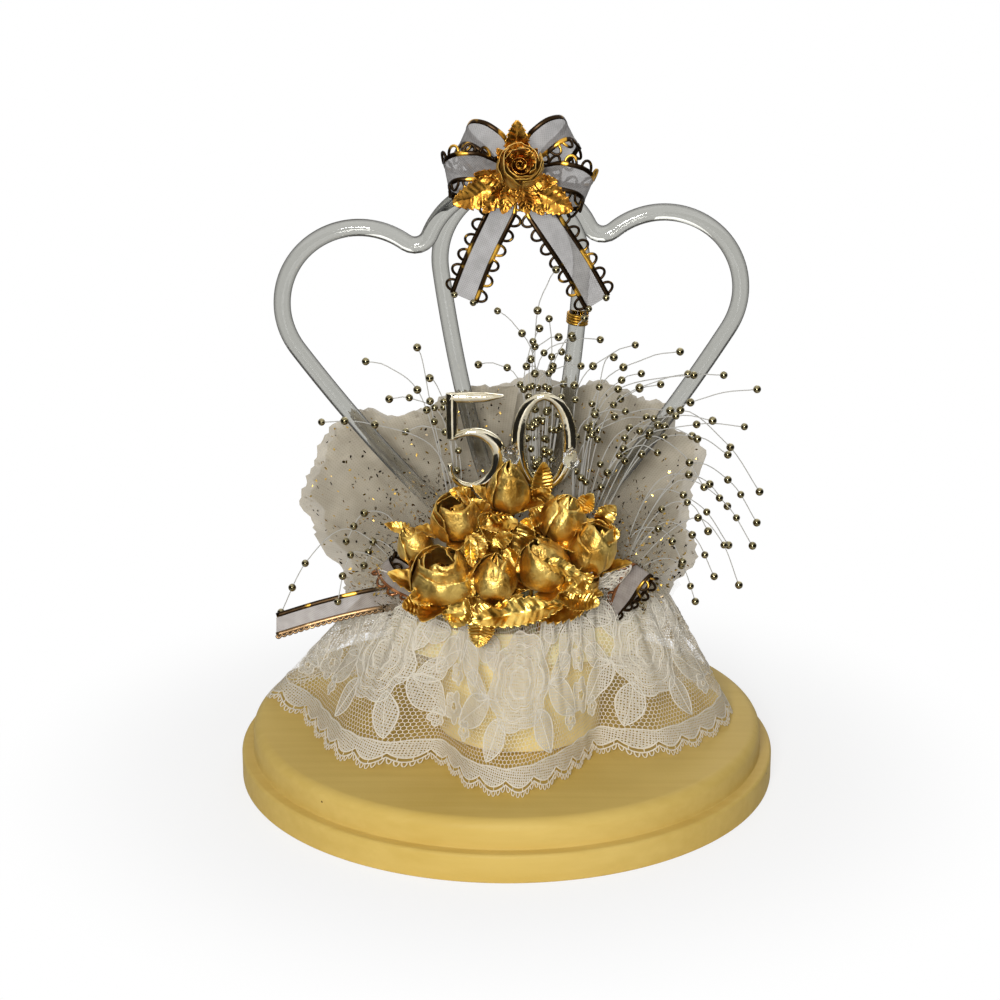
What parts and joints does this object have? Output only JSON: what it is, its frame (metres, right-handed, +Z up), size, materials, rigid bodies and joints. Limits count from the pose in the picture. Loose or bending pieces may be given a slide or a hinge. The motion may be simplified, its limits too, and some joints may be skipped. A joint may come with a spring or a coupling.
{
  "type": "anniversary cake topper",
  "caption": "Free-standing cake topper: round stepped plaque with a lace-skirted bouquet of foil roses, two crossed clear hearts, a ribbon bow and raised numerals.",
  "frame": {"origin": "middle of the plaque's underside", "axes": "+Z up, front with the numerals towards -Y, +X to the viewer's right"},
  "size_m": [0.178, 0.178, 0.2245],
  "materials": {
    "painted_wood": "satin gold paint",
    "cream_paint": "satin cream paint",
    "white_foam": "matt, closed cells",
    "clear_acrylic": "polished clear",
    "gold_wire": "bright drawn",
    "sheer_ribbon": "sheer with metal edges",
    "gold_foil": "metallised, crinkled",
    "metallised_plastic": "bright metallised",
    "metallised_beads": "antique metallised",
    "tulle_net": "fine net with glitter",
    "white_lace": "matt cotton"
  },
  "bodies": {
    "root": {"base_plate": "painted_wood", "pedestal": "cream_paint", "foam_block": "white_foam", "left_heart": "clear_acrylic", "right_heart": "clear_acrylic", "numeral_pick": "clear_acrylic", "glue_dab_left": "clear_acrylic", "glue_dab_right": "clear_acrylic", "gold_band": "gold_wire", "bow_wire": "gold_wire", "stem_top": "gold_wire", "stem_upper_left": "gold_wire", "stem_upper_right": "gold_wire", "stem_left": "gold_wire", "stem_lower_middle": "gold_wire", "stem_middle_right": "gold_wire", "stem_right": "gold_wire", "stem_small": "gold_wire", "bow_knot": "sheer_ribbon", "bow_loop_left": "sheer_ribbon", "bow_loop_right": "sheer_ribbon", "bow_loop_upper_left": "sheer_ribbon", "bow_loop_upper_right": "sheer_ribbon", "bow_tail_left": "sheer_ribbon", "bow_tail_right": "sheer_ribbon", "ribbon_loop_left": "sheer_ribbon", "ribbon_loop_right": "sheer_ribbon", "ribbon_tail_left": "sheer_ribbon", "top_rose": "gold_foil", "top_leaf_up": "gold_foil", "top_leaf_left": "gold_foil", "top_leaf_right": "gold_foil", "rose_top": "gold_foil", "rose_upper_left": "gold_foil", "rose_upper_right": "gold_foil", "rose_left": "gold_foil", "rose_lower_middle": "gold_foil", "rose_middle_right": "gold_foil", "rose_right": "gold_foil", "rose_small": "gold_foil", "leaf_bud": "gold_foil", "leaf_middle": "gold_foil", "leaf_long": "gold_foil", "leaf_drop": "gold_foil", "leaf_left": "gold_foil", "leaf_right": "gold_foil", "numeral_five": "metallised_plastic", "numeral_zero": "metallised_plastic", "spray_left_low": "metallised_beads", "spray_left_high": "metallised_beads", "spray_middle": "metallised_beads", "spray_right_high": "metallised_beads", "spray_right_low": "metallised_beads", "tulle_left_front": "tulle_net", "tulle_right_front": "tulle_net", "tulle_left_back": "tulle_net", "tulle_right_back": "tulle_net", "tulle_top_back": "tulle_net", "lace_skirt": "white_lace"}
  },
  "joints": []
}
